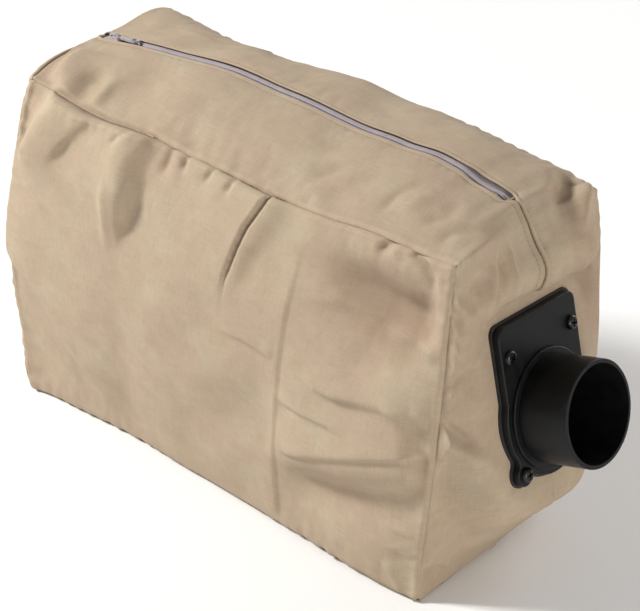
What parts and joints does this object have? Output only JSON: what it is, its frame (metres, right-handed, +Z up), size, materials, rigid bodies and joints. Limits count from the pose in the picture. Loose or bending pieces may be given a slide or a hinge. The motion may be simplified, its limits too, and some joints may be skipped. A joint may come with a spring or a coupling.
{
  "type": "dust bag",
  "caption": "Sewn cotton chip bag with a zip along its top and a moulded inlet spigot on its front, for a hand-held woodworking machine.",
  "frame": {"origin": "centre of the bag's flat base", "axes": "+X towards the inlet connector at the front, +Y to the bag's left side, +Z up"},
  "size_m": [0.3832, 0.1446, 0.2214],
  "materials": {
    "calico": "unbleached plain-weave cotton",
    "zip_tape": "woven polyester tape",
    "zip_coil": "nylon coil",
    "thread": "spun sewing thread",
    "stop_metal": "crimped steel",
    "slider_paint": "baked enamel on zinc",
    "black_moulding": "satin moulded nylon",
    "gasket_rubber": "dull",
    "screw_steel": "black oxide"
  },
  "bodies": {
    "bag": {"side_panel_right": "calico", "side_panel_left": "calico", "gusset_right": "calico", "gusset_left": "calico", "base_panel": "calico", "back_panel": "calico", "zipper_tape_right": "zip_tape", "zipper_tape_left": "zip_tape", "zipper_coil_right": "zip_coil", "zipper_coil_left": "zip_coil", "zipper_stop_front": "stop_metal", "zipper_stops_back": "stop_metal", "zip_tack_front": "thread", "zip_tack_back": "thread", "inlet_connector": "black_moulding", "flange_gasket": "gasket_rubber", "clamp_ring": "black_moulding", "flange_screws": "screw_steel"},
    "slider": {"zipper_slider": "slider_paint"},
    "pull": {"zipper_pull": "slider_paint"}
  },
  "joints": [
    {"name": "slider_travel", "type": "hinge", "parent": "bag", "child": "slider", "pos_m": [0, 0, -0.8715], "axis": [0, 1, 0], "range_deg": [0, 13.92]},
    {"name": "pull_flip", "type": "hinge", "parent": "slider", "child": "pull", "pos_m": [-0.14397, 0, 0.21172], "axis": [0, -1, 0], "range_deg": [0, 168]}
  ]
}
